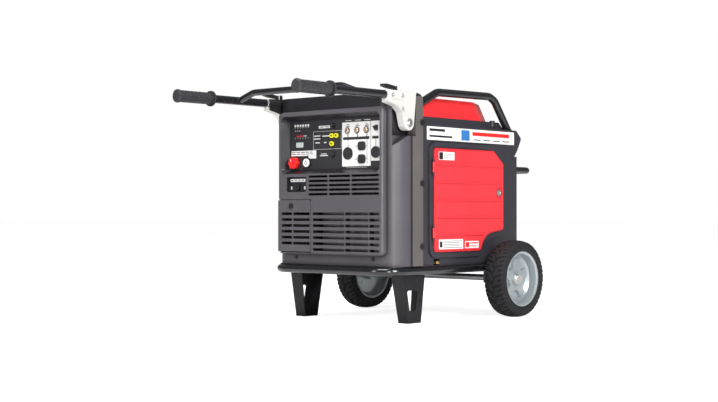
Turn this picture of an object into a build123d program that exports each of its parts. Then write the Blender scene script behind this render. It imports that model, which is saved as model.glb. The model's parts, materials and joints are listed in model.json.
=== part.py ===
from build123d import *
import math
import os

os.makedirs("parts", exist_ok=True)

# Frame: origin under the middle of the machine, on the floor.
# +X is the right-hand side seen from the control panel, +Y the rear, +Z up. Millimetres.

# ---- overall -------------------------------------------------------------
length = 1198.0
width = 700.0
height = 720.0
front_tip_y = -length / 2
rear_tip_y = length / 2

# ---- clearances ----------------------------------------------------------
running_gap = 0.05
moving_gap = 0.5
panel_gap = 1.5
sheet = 3.0
moulding = 4.0

# ---- base frame ----------------------------------------------------------
base_tube_r = 12.0
base_tube_x = 245.0
base_tube_z = 157.0
base_front_y = -201.5
base_rear_y = 431.0
base_corner_r = 70.0
pan_z = base_tube_z + base_tube_r
body_z = pan_z + sheet
tray_z = body_z + moulding
rail_half = 30.0
rail_drop = 20.0
rail_front_y = -77.0
rail_middle_y = 130.0

# ---- legs ----------------------------------------------------------------
leg_outer_x = 233.0
leg_width = 47.0
leg_foot_width = 39.0
leg_top_front_y = -129.0
leg_top_rear_y = -24.0
leg_foot_front_y = -103.0
leg_foot_rear_y = -44.0
leg_plate = 4.0
leg_window = [(-109.0, 99.0), (-58.0, 98.0), (-70.0, 38.0), (-98.0, 38.0)]
leg_window_r = 6.0

# ---- wheels --------------------------------------------------------------
wheel_r = 122.0
wheel_y = 329.4
wheel_outer_x = width / 2
tyre_width = 72.0
rim_r = 84.0
rim_flange_r = 87.0
axle_r = 10.0
hub_r = 22.0
lobe_count = 5
lobe_half = 14.0
lobe_root_r = 38.0
lobe_tip_r = 62.0
tread_groove = 4.0

# ---- body ----------------------------------------------------------------
side_x = 245.0
cover_x = 250.0
band_x = 255.0
cover_front_y = -185.0
cover_rear_y = -109.0
band_rear_y = -60.0
body_rear_y = 443.5
panel_rear_y = 430.0
cover_top_z = 690.0
band_top_z = 693.0
deck_z = 601.0
cover_corner_r = 60.0

# ---- raised face frame ---------------------------------------------------
face_y = -203.0
face_x = 216.0
face_low_z = 204.0
face_high_z = 647.0
face_bevel = 12.0
recess_x = 205.0
recess_low_z = 452.0
recess_high_z = 632.0
recess_depth = 28.0
recess_slope = 14.0
board_y = face_y + recess_depth
board_x = recess_x - recess_slope
board_low_z = recess_low_z + recess_slope
board_high_z = recess_high_z - recess_slope
board_sheet = 4.0

# ---- grilles -------------------------------------------------------------
upper_rows = 5
upper_row_z = 385.0
upper_pitch = 13.6
upper_slot = 7.0
upper_columns = [(-83.0, -4.0), (2.0, 88.0), (94.0, 202.0)]
lower_rows = 7
lower_row_z = 218.7
lower_pitch = 18.3
lower_slot = 8.3
lower_columns = [(-65.0, 65.0), (69.0, 161.0), (165.0, 203.0)]
battery_columns = [(-200.0, -155.0), (-150.0, -79.0)]

# ---- battery cover -------------------------------------------------------
hatch_x0 = -215.5
hatch_x1 = -75.0
hatch_z0 = 210.0
hatch_z1 = 371.5
hatch_sheet = 7.0
hatch_screw_x = -158.6
hatch_screw_z = 352.5
hatch_screw_r = 8.0
hatch_shank_r = 5.0
hatch_pocket = 10.0

# ---- control recess ------------------------------------------------------
small_recess_x0 = -178.0
small_recess_x1 = -94.0
small_recess_z0 = 396.0
small_recess_z1 = 443.0
small_recess_depth = 12.0
small_floor_y = face_y + small_recess_depth

# ---- controls (x, z on the board) ---------------------------------------
breaker_spots = [57.0, 95.5, 133.0]
breaker_z = 580.5
breaker_r = 7.0
plate_sheet = 2.0
plate_main = (33.0, 147.0, 472.0, 606.0)
plate_side = (149.5, 189.0, 487.0, 606.0)
round_socket = (57.5, 511.5, 19.0)
locking_socket = (168.5, 512.5, 17.5)
duplex_x = 113.0
duplex_z = (532.5, 493.5)
duplex_w = 30.0
duplex_h = 27.0
jack_spots = [(-9.5, 568.0), (9.5, 568.0), (-9.5, 543.5)]
jack_r = 7.0
display_x = -147.0
display_z = 543.5
display_w = 30.0
display_h = 16.0
knob_x = -167.0
knob_r = 18.5
knob_z = board_low_z + knob_r + 2.5
knob_shaft_r = 6.0
start_x = -116.0
start_z = 487.0
start_r = 13.0
eco_spot = (-6.0, 597.0)
volt_spot = (-5.0, 509.0)
toggle_spot = (170.0, 585.0)
slide_spot = (-136.0, 410.0)
rocker_r = 8.0
rocker_w = 12.0
rocker_tilt = 10.0

# ---- handle --------------------------------------------------------------
handle_x = 245.0
pivot_y = -130.0
pivot_z = 598.0
pivot_end_r = 23.0
pivot_pin_r = 8.0
bracket_x0 = 233.0
bracket_x1 = 258.0
bracket_front_y = -225.0
bracket_rear_y = -97.0
bracket_top_z = 690.0
grip_tube_r = 12.5
grip_tube_z = 676.5
socket_r = 16.0
socket_rear_y = -150.0
cross_y = -343.0
cross_r = 10.0
cross_rise = 22.0
cross_flat_x = 182.0
grip_r = 18.0
grip_flange_r = 23.5
grip_length = 140.0
grip_flange = 6.0
rib_count = 8
clamp_spots = (-208.0, -165.0)
clamp_r = 5.5
pocket_x = 226.5
pocket_floor_z = 560.0
lever_pin_y = -172.0
lever_pin_z = 698.0
lever_pin_r = 3.0
lever_half = 7.0
lever_tip_y = -239.0
lever_tip_z = 707.0
lever_thick = 11.0

# ---- side door -----------------------------------------------------------
door_outline = [
    (-4.0, 212.0), (233.0, 212.0), (247.0, 240.0), (264.0, 258.0), (291.0, 268.0),
    (358.0, 276.0), (358.0, 488.0), (305.0, 529.0), (-4.0, 529.0),
]
door_corners = [12.0, 18.0, 20.0, 20.0, 20.0, 12.0, 12.0, 20.0, 12.0]
door_inner_x = side_x + moving_gap
door_outer_x = side_x + 9.0
rim_wide = 18.0
rim_outer_x = side_x + 4.5
ridge_z = [261.0, 315.0, 369.0, 423.0, 477.0]
ridge_y = 8.0
hinge_x = side_x + 8.0
hinge_y = -8.0
hinge_r = 3.0
hinge_pin_r = 1.5
hinge_spots = [270.0, 470.0]
knuckle = 30.0
lug = 8.0
lock_y = 331.0
lock_z = 395.0
lock_r = 10.0
lock_shaft_r = 6.0

# ---- top -----------------------------------------------------------------
rail_x = 215.0
top_pipe_r = 12.5
top_pipe_points = [
    (band_rear_y, 648.0), (58.0, 703.0), (330.0, height - top_pipe_r), (360.0, 695.0), (440.0, 595.0),
]
plateau_x = rail_x - top_pipe_r - 1.0
plateau_z = 629.0
tank_x = 180.0
tank_front_y = 10.0
tank_rear_y = 420.0
tank_low_z = 560.0
tank_top_z = 690.0
tank_wall = 3.0
tank_lean = 45.0
cap_y = 190.0
cap_r = 34.0
neck_r = 24.0
gauge_y = 80.0
visor_y = 467.0
breather_x = 189.0
breather_y = 384.0
breather_r = 9.0

# ---- rear bar ------------------------------------------------------------
rear_bar_x = 195.0
rear_bar_r = 11.0
rear_bar_z = 474.0
rear_bar_bend = 24.0

# ---- power unit ----------------------------------------------------------
crank_z = 300.0
crank_r = 15.0
rotor_r = 60.0
stator_r = 85.0
stator_y0 = 50.0
stator_y1 = 130.0
block_y0 = 165.0
block_y1 = 300.0
fin_count = 6
fan_y0 = 0.0
fan_y1 = 32.0
fan_r = 82.0
blade_count = 9
muffler_pipe_r = 20.0
muffler_pipe_x = -165.0
muffler_pipe_z = 380.0
valve_y = 15.0
valve_z = 180.0
valve_r = 4.0


def block(x0, x1, y0, y1, z0, z1):
    """Box between two opposite corners."""
    return Pos((x0 + x1) / 2, (y0 + y1) / 2, (z0 + z1) / 2) * Box(x1 - x0, y1 - y0, z1 - z0)


def rod_x(x0, x1, y, z, r):
    """Cylinder along X."""
    return Pos((x0 + x1) / 2, y, z) * Rot(0, 90, 0) * Cylinder(r, x1 - x0)


def rod_y(x, y0, y1, z, r):
    """Cylinder along Y."""
    return Pos(x, (y0 + y1) / 2, z) * Rot(90, 0, 0) * Cylinder(r, y1 - y0)


def rod_z(x, y, z0, z1, r):
    """Cylinder along Z."""
    return Pos(x, y, (z0 + z1) / 2) * Cylinder(r, z1 - z0)


def prism_x(points, x0, x1):
    """Outline given as (y, z) points, run from x0 to x1."""
    outline = make_face(Plane.YZ.offset(x0) * Polyline(*points, close=True))
    return extrude(outline, amount=x1 - x0, dir=(1, 0, 0))


def prism_z(points, z0, z1):
    """Outline given as (x, y) points, run from z0 to z1."""
    outline = make_face(Plane.XY.offset(z0) * Polyline(*points, close=True))
    return extrude(outline, amount=z1 - z0, dir=(0, 0, 1))


def rounded_y(x0, x1, z0, z1, radius, y0, y1):
    """Rounded rectangle in the XZ plane, run from y0 to y1."""
    outline = Plane.XZ.offset(-y1) * Pos((x0 + x1) / 2, (z0 + z1) / 2)
    outline = outline * RectangleRounded(x1 - x0, z1 - z0, radius)
    return extrude(outline, amount=y1 - y0)


def rounded_z(x0, x1, y0, y1, radius, z0, z1):
    """Rounded rectangle in the XY plane, run from z0 to z1."""
    outline = Plane.XY.offset(z0) * Pos((x0 + x1) / 2, (y0 + y1) / 2)
    outline = outline * RectangleRounded(x1 - x0, y1 - y0, radius)
    return extrude(outline, amount=z1 - z0)


def tube_run(points, bend, radius):
    """Round bar swept along straight runs joined by bends."""
    path = FilletPolyline(*points, radius=bend)
    start = Plane(origin=path @ 0, z_dir=path % 0)
    return sweep(start * Circle(radius), path=path)


def turned_x(points):
    """Outline given as (x, radius) points, turned about the X axis."""
    outline = make_face(Polyline(*points, close=True))
    return revolve(outline, axis=Axis.X)


def turned_y(points):
    """Outline given as (radius, y) points, turned about the Y axis."""
    outline = make_face(Polyline(*points, close=True))
    return revolve(outline, axis=Axis.Y)


def other_side(shape):
    """Mirror image on the left of the machine."""
    return mirror(shape, about=Plane.YZ)


def both_sides(shape):
    """The shape with its mirror image."""
    return shape + other_side(shape)


# ---- chassis -------------------------------------------------------------
def make_base_frame():
    """Welded tube loop with cross rails and axle brackets."""
    half_path = [
        (0, base_front_y, base_tube_z),
        (base_tube_x, base_front_y, base_tube_z),
        (base_tube_x, base_rear_y, base_tube_z),
        (0, base_rear_y, base_tube_z),
    ]
    frame = both_sides(tube_run(half_path, base_corner_r, base_tube_r))
    for y in (rail_front_y, rail_middle_y, wheel_y):
        rail = block(-base_tube_x, base_tube_x, y - rail_half, y + rail_half, pan_z - rail_drop, pan_z)
        hollow = block(-leg_outer_x + 6, leg_outer_x - 6, y - rail_half + 4, y + rail_half - 4,
                       pan_z - rail_drop - 1, pan_z - 4)
        frame = frame + (rail - hollow)
    bracket = block(204, 212, wheel_y - axle_r - 5, wheel_y + axle_r + 5, wheel_r - 16, pan_z - 4)
    bracket = bracket - rod_x(200, 216, wheel_y, wheel_r, axle_r)
    return frame + both_sides(bracket)


def make_right_leg():
    """Pressed channel leg, open inward, with a window in its outer plate."""
    top_z = pan_z - rail_drop
    outer = [
        (leg_top_front_y, top_z), (leg_top_rear_y, top_z),
        (leg_foot_rear_y, 0), (leg_foot_front_y, 0),
    ]
    inner = [
        (leg_top_front_y + leg_plate, top_z - leg_plate), (leg_top_rear_y - leg_plate, top_z - leg_plate),
        (leg_foot_rear_y - leg_plate, leg_plate), (leg_foot_front_y + leg_plate, leg_plate),
    ]
    leg = prism_x(outer, leg_outer_x - leg_width, leg_outer_x) & leg_front(top_z)
    leg = leg - prism_x(inner, leg_outer_x - leg_width - 1, leg_outer_x - leg_plate)
    opening = make_face(Plane.YZ.offset(leg_outer_x - leg_width) * FilletPolyline(
        *leg_window, radius=leg_window_r, close=True))
    return leg - extrude(opening, amount=leg_width + 1, dir=(1, 0, 0))


def leg_front(top_z):
    """Tapered front outline of a leg."""
    points = [
        (leg_outer_x - leg_width, top_z), (leg_outer_x, top_z), (leg_outer_x, 0),
        (leg_outer_x - leg_foot_width, 0),
    ]
    outline = make_face(Plane.XZ.offset(200) * Polyline(*points, close=True))
    return extrude(outline, amount=400, dir=(0, 1, 0))


def make_axle():
    """Solid rod through both wheels."""
    return rod_x(-hub_end() - 6, hub_end() + 6, wheel_y, wheel_r, axle_r)


def hub_end():
    """Outer end of the wheel hub."""
    return wheel_outer_x - 23.0


def make_axle_nuts():
    """Washer and push-on cap outside and inside each wheel."""
    nut = rod_x(hub_end() + moving_gap, hub_end() + 3, wheel_y, wheel_r, hub_r - 4)
    nut = nut + rod_x(hub_end() + 3, hub_end() + 9, wheel_y, wheel_r, hub_r - 8)
    nut = nut - rod_x(hub_end() - 1, hub_end() + 6, wheel_y, wheel_r, axle_r)
    inner_x = wheel_outer_x - tyre_width + 4
    collar = rod_x(212, inner_x - moving_gap, wheel_y, wheel_r, hub_r - 6)
    collar = collar - rod_x(200, inner_x + 1, wheel_y, wheel_r, axle_r)
    return both_sides(nut + collar)


def make_right_tyre():
    """Solid rubber tyre with a rounded shoulder and two ring grooves."""
    x1 = wheel_outer_x
    x0 = x1 - tyre_width
    outline = [
        (x0 + 5, rim_r), (x0 + 5, rim_flange_r + 2), (x0, rim_r + 14), (x0, wheel_r - 16),
        (x0 + 7, wheel_r - 5), (x0 + 18, wheel_r - 1), (x0 + 30, wheel_r),
        (x0 + 31, wheel_r - tread_groove), (x0 + 34, wheel_r - tread_groove), (x0 + 35, wheel_r),
        (x1 - 35, wheel_r), (x1 - 34, wheel_r - tread_groove), (x1 - 31, wheel_r - tread_groove),
        (x1 - 30, wheel_r), (x1 - 18, wheel_r - 1), (x1 - 7, wheel_r - 5),
        (x1, wheel_r - 16), (x1, rim_r + 14), (x1 - 5, rim_flange_r + 2), (x1 - 5, rim_r),
    ]
    return Pos(0, wheel_y, wheel_r) * turned_x(outline)


def make_right_rim():
    """Dished wheel with flanges, hub and a five-lobed centre."""
    x1 = wheel_outer_x - 3
    x0 = wheel_outer_x - tyre_width + 3
    web = wheel_outer_x - 44
    outline = [
        (x0, rim_flange_r), (x0 + 2, rim_flange_r), (x0 + 2, rim_r), (x1 - 2, rim_r),
        (x1 - 2, rim_flange_r), (x1, rim_flange_r), (x1, rim_flange_r - 3), (x1 - 3, rim_r - 5),
        (web + 14, rim_r - 8), (web + 4, rim_r - 18), (web + 4, hub_r), (hub_end(), hub_r),
        (hub_end(), axle_r + running_gap), (x0 + 1, axle_r + running_gap), (x0 + 1, hub_r),
        (web, hub_r), (web, rim_r - 16), (web - 8, rim_r - 8), (x0 + 3, rim_r - 5), (x0, rim_flange_r - 3),
    ]
    rim = turned_x(outline)
    rim = rim + rod_x(web + 3, web + 15, 0, 0, lobe_root_r)
    for i in range(lobe_count):
        arm = block(web + 3, web + 15, -lobe_half, lobe_half, 0, lobe_tip_r)
        arm = fillet(arm.edges().filter_by(Axis.X).group_by(Axis.Z)[-1], 6)
        rim = rim + Rot(360 / lobe_count * i, 0, 0) * arm
    rim = rim - rod_x(x0 - 1, wheel_outer_x, 0, 0, axle_r + running_gap)
    return Pos(0, wheel_y, wheel_r) * rim


def make_base_pan():
    """Floor sheet of the body."""
    return rounded_z(-side_x, side_x, cover_front_y + moulding, body_rear_y - 8, 30, pan_z, body_z)


# ---- front ---------------------------------------------------------------
def handle_pocket(wall_x, lower_by):
    """Space at the upper right corner in which the handle bracket swings."""
    floor = [
        (-260, 470 - lower_by), (-195, 495 - lower_by), (-178, 526 - lower_by),
        (-128, pocket_floor_z - lower_by),
        (cover_rear_y + 1, pocket_floor_z - lower_by), (cover_rear_y + 1, 720), (-260, 720),
    ]
    return prism_x(floor, wall_x, cover_x + 10)


def shell_block(inset):
    """Rounded body of the front cover, drawn in by an inset."""
    radius = cover_corner_r - inset
    half = cover_x - inset
    outline = rounded_z(-half, half, cover_front_y + inset, cover_rear_y + 150, radius,
                        body_z + inset, cover_top_z - inset)
    return outline - block(-300, 300, cover_rear_y + inset / 2, 200, 0, 800)


def make_front_cover():
    """Front moulding with raised face, panel recess, grilles and handle pockets."""
    outer = shell_block(0) - both_sides(handle_pocket(pocket_x, 0))
    inner = shell_block(moulding) - both_sides(handle_pocket(pocket_x - moulding, moulding))
    inner = inner + (block(-pocket_x + 10, pocket_x - 10, cover_rear_y - 5, cover_rear_y + 5, 200, 670))
    inner = inner + (block(-cover_x + 10, cover_x - 10, cover_rear_y - 5, cover_rear_y + 5, 200, 540))
    cover = outer - inner
    face = rounded_y(-face_x, face_x, face_low_z, face_high_z, 14, face_y, cover_front_y + 1)
    face = chamfer(face.faces().sort_by(Axis.Y)[0].edges(), 4)
    bevel = [
        (face_y - 1, face_high_z - face_bevel), (face_y, face_high_z - face_bevel),
        (face_y + face_bevel, face_high_z), (face_y - 1, face_high_z + 1),
    ]
    face = face - prism_x(bevel, -face_x - 1, face_x + 1)
    bucket = rounded_y(-recess_x, recess_x, recess_low_z, recess_high_z, 12, cover_front_y,
                       board_y + board_sheet)
    cover = cover + face + bucket
    mouth = Plane.XZ.offset(-face_y) * Pos(0, (recess_low_z + recess_high_z) / 2)
    mouth = mouth * RectangleRounded(2 * recess_x, recess_high_z - recess_low_z, 18)
    slope = math.degrees(math.atan2(recess_slope, recess_depth))
    cover = cover - extrude(mouth, amount=recess_depth, dir=(0, 1, 0), taper=slope)
    cover = cover - block(-board_x, board_x, board_y - 0.01, board_y + 20, board_low_z, board_high_z)
    cover = cover - rounded_y(small_recess_x0, small_recess_x1, small_recess_z0, small_recess_z1, 5,
                              face_y - 1, small_floor_y)
    cover = cover - rocker_slot(slide_spot[0], slide_spot[1], small_floor_y, cover_front_y + moulding + 6)
    for row in range(upper_rows):
        z = upper_row_z + row * upper_pitch
        for x0, x1 in upper_columns:
            cover = cover - block(x0, x1, face_y - 1, cover_front_y + moulding + 1, z, z + upper_slot)
    for row in range(lower_rows):
        z = lower_row_z + row * lower_pitch - lower_slot / 2
        for x0, x1 in lower_columns:
            cover = cover - block(x0, x1, face_y - 1, cover_front_y + moulding + 1, z, z + lower_slot)
    cover = cover - block(-face_x - 1, hatch_x1 + panel_gap, face_y - 1, face_y + hatch_pocket,
                          hatch_z0 - panel_gap, hatch_z1 + panel_gap)
    return cover - block(hatch_x0 + 14, hatch_x1 - 10, face_y, cover_front_y + moulding + 1, hatch_z0 + 14,
                         hatch_z1 - 14)


def rocker_slot(x, z, y_front, y_back):
    """Slot in which a rocker turns."""
    half_w = rocker_w / 2 + moving_gap
    half_h = rocker_r + moving_gap
    return block(x - half_w, x + half_w, y_front - 6, y_back, z - half_h, z + half_h)


def make_rocker(x, z, y):
    """Rocker key: a drum with a shallow V face, resting on its upper side."""
    drum = rod_x(-rocker_w / 2, rocker_w / 2, 0, 0, rocker_r)
    wedge = prism_x([(-12, -12), (-2.5, 0), (-12, 12)], -rocker_w, rocker_w)
    return Pos(x, y, z) * Rot(-rocker_tilt, 0, 0) * (drum - wedge)


def make_toggle(x, z, y):
    """Toggle key: a drum with a short bat."""
    drum = rod_x(-rocker_w / 2, rocker_w / 2, 0, 0, rocker_r)
    bat = rod_y(0, -rocker_r - 8, 0, 0, 3.0)
    return Pos(x, y, z) * Rot(-rocker_tilt, 0, 0) * (drum + bat)


def make_control_board():
    """Board behind the recess, with slots and holes for every control."""
    board = block(-board_x, board_x, board_y, board_y + board_sheet, board_low_z, board_high_z)
    ring = rod_y(start_x, board_y - 4, board_y + 1, start_z, start_r + 4)
    board = board + ring - rod_y(start_x, board_y - 6, board_y + 10, start_z, start_r + moving_gap)
    board = board - rod_y(knob_x, board_y - 6, board_y + 10, knob_z, knob_shaft_r + running_gap)
    for x in breaker_spots:
        board = board - rod_y(x, board_y - 6, board_y + 10, breaker_z, breaker_r + moving_gap)
    for x, z in (eco_spot, volt_spot, toggle_spot):
        board = board - rocker_slot(x, z, board_y, board_y + 10)
    return board


def make_outlet_plate():
    """Two pale plates around the outlets, with holes for what passes through."""
    y0 = board_y - plate_sheet
    plate = block(plate_main[0], plate_main[1], y0, board_y, plate_main[2], plate_main[3])
    plate = plate + block(plate_side[0], plate_side[1], y0, board_y, plate_side[2], plate_side[3])
    for x in breaker_spots:
        plate = plate + rod_y(x, y0 - 3, board_y, breaker_z, breaker_r + 4)
        plate = plate - rod_y(x, y0 - 6, board_y + 1, breaker_z, breaker_r + moving_gap)
    plate = plate - rod_y(round_socket[0], y0 - 1, board_y + 1, round_socket[1], round_socket[2])
    plate = plate - rod_y(locking_socket[0], y0 - 1, board_y + 1, locking_socket[1], locking_socket[2])
    for z in duplex_z:
        plate = plate - duplex_outline(z, y0 - 1, board_y + 1)
    return plate - rocker_slot(toggle_spot[0], toggle_spot[1], board_y, board_y + 10)


def duplex_outline(z, y0, y1):
    """Outline of one outlet face."""
    return rounded_y(duplex_x - duplex_w / 2, duplex_x + duplex_w / 2, z - duplex_h / 2, z + duplex_h / 2,
                     9, y0, y1)


def make_receptacles():
    """Outlet faces with their contact slots."""
    y0 = board_y - plate_sheet - 3
    faces = rod_y(round_socket[0], y0, board_y, round_socket[1], round_socket[2])
    for angle in (90, 210, 330):
        x = round_socket[0] + 9 * math.cos(math.radians(angle))
        z = round_socket[1] + 9 * math.sin(math.radians(angle))
        faces = faces - rod_y(x, y0 - 1, y0 + 4, z, 2.2)
    twist = rod_y(locking_socket[0], y0, board_y, locking_socket[1], locking_socket[2])
    for angle in (45, 135, 225, 315):
        x = locking_socket[0] + 8 * math.cos(math.radians(angle))
        z = locking_socket[1] + 8 * math.sin(math.radians(angle))
        twist = twist - rod_y(x, y0 - 1, y0 + 4, z, 1.8)
    faces = faces + twist
    for z in duplex_z:
        outlet = duplex_outline(z, y0, board_y)
        for side in (-1, 1):
            x = duplex_x + side * 6
            outlet = outlet - block(x - 1, x + 1, y0 - 1, y0 + 4, z - 1, z + 8)
        outlet = outlet - rod_y(duplex_x, y0 - 1, y0 + 4, z - 7, 2.4)
        faces = faces + outlet
    return faces


def make_parallel_jacks():
    """Ringed sockets for linking two machines."""
    jacks = None
    for x, z in jack_spots:
        jack = rod_y(x, board_y - 6, board_y, z, jack_r) - rod_y(x, board_y - 7, board_y - 1, z, jack_r - 3)
        jacks = jack if jacks is None else jacks + jack
    return jacks


def make_display():
    """Read-out window."""
    half_w = display_w / 2
    half_h = display_h / 2
    return rounded_y(display_x - half_w, display_x + half_w, display_z - half_h, display_z + half_h,
                     3, board_y - 2, board_y)


def make_engine_switch_knob():
    """Lobed rotary knob on a short shaft."""
    knob = rod_y(knob_x, board_y - 14, board_y - moving_gap, knob_z, knob_r - 5)
    for i in range(6):
        angle = math.radians(60 * i)
        x = knob_x + (knob_r - 8) * math.cos(angle)
        z = knob_z + (knob_r - 8) * math.sin(angle)
        knob = knob + rod_y(x, board_y - 14, board_y - moving_gap, z, 8)
    grip = block(knob_x - 4, knob_x + 4, board_y - 22, board_y - 13, knob_z - knob_r + 6,
                 knob_z + knob_r - 6)
    return knob + grip + rod_y(knob_x, board_y - 2, board_y + board_sheet, knob_z, knob_shaft_r)


def make_start_button():
    """Round push button."""
    button = rod_y(start_x, board_y - 7, board_y + board_sheet - 2, start_z, start_r)
    return chamfer(button.faces().sort_by(Axis.Y)[0].edges(), 1.5)


def make_breaker(x):
    """Round push-to-reset breaker button."""
    button = rod_y(x, board_y - 10, board_y + board_sheet - 2, breaker_z, breaker_r)
    return chamfer(button.faces().sort_by(Axis.Y)[0].edges(), 1.5)


def make_battery_cover():
    """Slotted hatch over the battery, tipping on its lower edge."""
    edge_r = hatch_sheet / 2
    hatch = rounded_y(hatch_x0, hatch_x1, hatch_z0, hatch_z1, 5, face_y, face_y + hatch_sheet)
    hatch = hatch - block(hatch_x0, hatch_x1, face_y, face_y + hatch_sheet, hatch_z0, hatch_z0 + edge_r)
    hatch = hatch + rod_x(hatch_x0, hatch_x1, face_y + edge_r, hatch_z0 + edge_r, edge_r)
    for row in range(1, lower_rows):
        z = lower_row_z + row * lower_pitch - lower_slot / 2
        for x0, x1 in battery_columns:
            hatch = hatch - block(x0, x1, face_y - 1, face_y + hatch_sheet + 1, z, z + lower_slot)
    return hatch - rod_y(hatch_screw_x, face_y - 1, face_y + 20, hatch_screw_z, hatch_shank_r + running_gap)


def make_battery_cover_screw():
    """Quarter-turn fastener with a cross slot."""
    screw = rod_y(hatch_screw_x, face_y - 3, face_y - moving_gap, hatch_screw_z, hatch_screw_r)
    screw = screw + rod_y(hatch_screw_x, face_y - 1, face_y + hatch_sheet + 1, hatch_screw_z, hatch_shank_r)
    return screw - block(hatch_screw_x - 6, hatch_screw_x + 6, face_y - 4, face_y - 1.8, hatch_screw_z - 1,
                         hatch_screw_z + 1)


def make_front_frame():
    """Hoop behind the front cover with its bulkhead."""
    hoop = rounded_y(-band_x, band_x, body_z - 40, band_top_z, 28, cover_rear_y, band_rear_y)
    hoop = hoop - block(-300, 300, -300, 300, 0, body_z)
    hoop = hoop - block(-band_x + 12, band_x - 12, cover_rear_y - 1, band_rear_y - 7, body_z + moulding,
                        band_top_z - 10)
    notch_y = bracket_rear_y + 2
    notch = block(pocket_x, 300, cover_rear_y - 1, notch_y, pocket_floor_z, 720)
    hoop = hoop - both_sides(notch)
    wall = block(pocket_x - moulding, band_x - 12, notch_y, notch_y + 3, pocket_floor_z, band_top_z - 10)
    floor = block(pocket_x - moulding, band_x - 12, cover_rear_y, notch_y + 3, pocket_floor_z - moulding,
                  pocket_floor_z)
    return hoop + both_sides(wall + floor)


def make_cover_screws():
    """Screw heads on the base strip and plugs on the hoop."""
    screws = rod_y(-153, cover_front_y - 3, cover_front_y, 193, 5)
    screws = screws + rod_y(164, cover_front_y - 3, cover_front_y, 193, 5)
    for z in (230.0, 420.0, 602.0):
        screws = screws + both_sides(rod_x(band_x, band_x + 2.5, -64, z, 9))
    return screws


# ---- handle --------------------------------------------------------------
def make_handle_tubes():
    """Two lifting tubes joined by a raised cross tube."""
    tube = rod_y(handle_x, front_tip_y + 9, socket_rear_y, grip_tube_z, grip_tube_r)
    cross = tube_run(
        [
            (-handle_x, cross_y, grip_tube_z), (-cross_flat_x, cross_y, grip_tube_z + cross_rise),
            (cross_flat_x, cross_y, grip_tube_z + cross_rise), (handle_x, cross_y, grip_tube_z),
        ],
        50, cross_r)
    return both_sides(tube) + cross


def bracket_outline():
    """Side outline of the cast bracket as (y, z) points."""
    points = [
        (bracket_front_y, bracket_top_z - 35), (bracket_front_y, bracket_top_z),
        (bracket_rear_y, bracket_top_z),
    ]
    points.append((bracket_rear_y - 3, bracket_top_z - 30))
    for angle in (0, -30, -60, -90, -120, -150, -180):
        y = pivot_y + pivot_end_r * math.cos(math.radians(angle))
        z = pivot_z + pivot_end_r * math.sin(math.radians(angle))
        points.append((y, z))
    points.append((pivot_y - 32, pivot_z + 30))
    points.append((pivot_y - 52, pivot_z + 47))
    return points


def make_right_handle_bracket():
    """Cast bracket with tube socket, clamp pad, window hole and lever ears."""
    bracket = prism_x(bracket_outline(), bracket_x0, bracket_x1)
    bracket = bracket + rod_y(handle_x, bracket_front_y - 4, socket_rear_y, grip_tube_z, socket_r)
    pad = block(handle_x, handle_x + socket_r, bracket_front_y + 4, socket_rear_y, grip_tube_z - 13,
                bracket_top_z)
    bracket = bracket + pad - block(200, 300, -300, 0, bracket_top_z, bracket_top_z + 20)
    for side in (-1, 1):
        x = handle_x + side * (lever_half + moving_gap + 2)
        ear = block(x - 2, x + 2, lever_pin_y - 7, lever_pin_y + 7, bracket_top_z - 4, lever_pin_z)
        ear = ear + rod_x(x - 2, x + 2, lever_pin_y, lever_pin_z, 7)
        bracket = bracket + ear
    bracket = bracket + rod_x(handle_x - 10, handle_x + 10, lever_pin_y, lever_pin_z, lever_pin_r)
    bracket = bracket - rod_y(handle_x, bracket_front_y - 6, socket_rear_y, grip_tube_z, grip_tube_r)
    mid_y = sum(clamp_spots) / 2
    recess = rod_x(handle_x + socket_r - 1.7, handle_x + socket_r + 1, clamp_spots[0], grip_tube_z, 8)
    recess = recess + rod_x(handle_x + socket_r - 1.7, handle_x + socket_r + 1, clamp_spots[1],
                            grip_tube_z, 8)
    recess = recess + block(handle_x + socket_r - 1.7, handle_x + socket_r + 1, clamp_spots[0],
                            clamp_spots[1],
                            grip_tube_z - 8, grip_tube_z + 8)
    bracket = bracket - recess
    bracket = bracket - rod_x(bracket_x1 - 12, bracket_x1 + 9, mid_y + 30, grip_tube_z - 40, 7)
    return bracket - rod_x(bracket_x0 - 1, bracket_x1 + 1, pivot_y, pivot_z, pivot_pin_r + running_gap)


def make_clamp_bolts():
    """Bolt heads that clamp the tubes in the brackets."""
    x0 = handle_x + socket_r - 1.7
    bolts = None
    for y in clamp_spots:
        bolt = rod_x(x0, x0 + 4, y, grip_tube_z, clamp_r) - rod_x(x0 + 2, x0 + 5, y, grip_tube_z, 2.8)
        bolts = bolt if bolts is None else bolts + bolt
    return both_sides(bolts)


def make_pivot_bolts():
    """Shoulder bolts on which the handle folds."""
    bolt = rod_x(pocket_x, bracket_x0 - moving_gap, pivot_y, pivot_z, 14)
    bolt = bolt + rod_x(pocket_x, bracket_x1 + 2, pivot_y, pivot_z, pivot_pin_r)
    head = rod_x(bracket_x1 + moving_gap, bracket_x1 + 3, pivot_y, pivot_z, 13)
    head = head + rod_x(bracket_x1 + 3, bracket_x1 + 7, pivot_y, pivot_z, 8)
    return both_sides(bolt + head)


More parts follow.
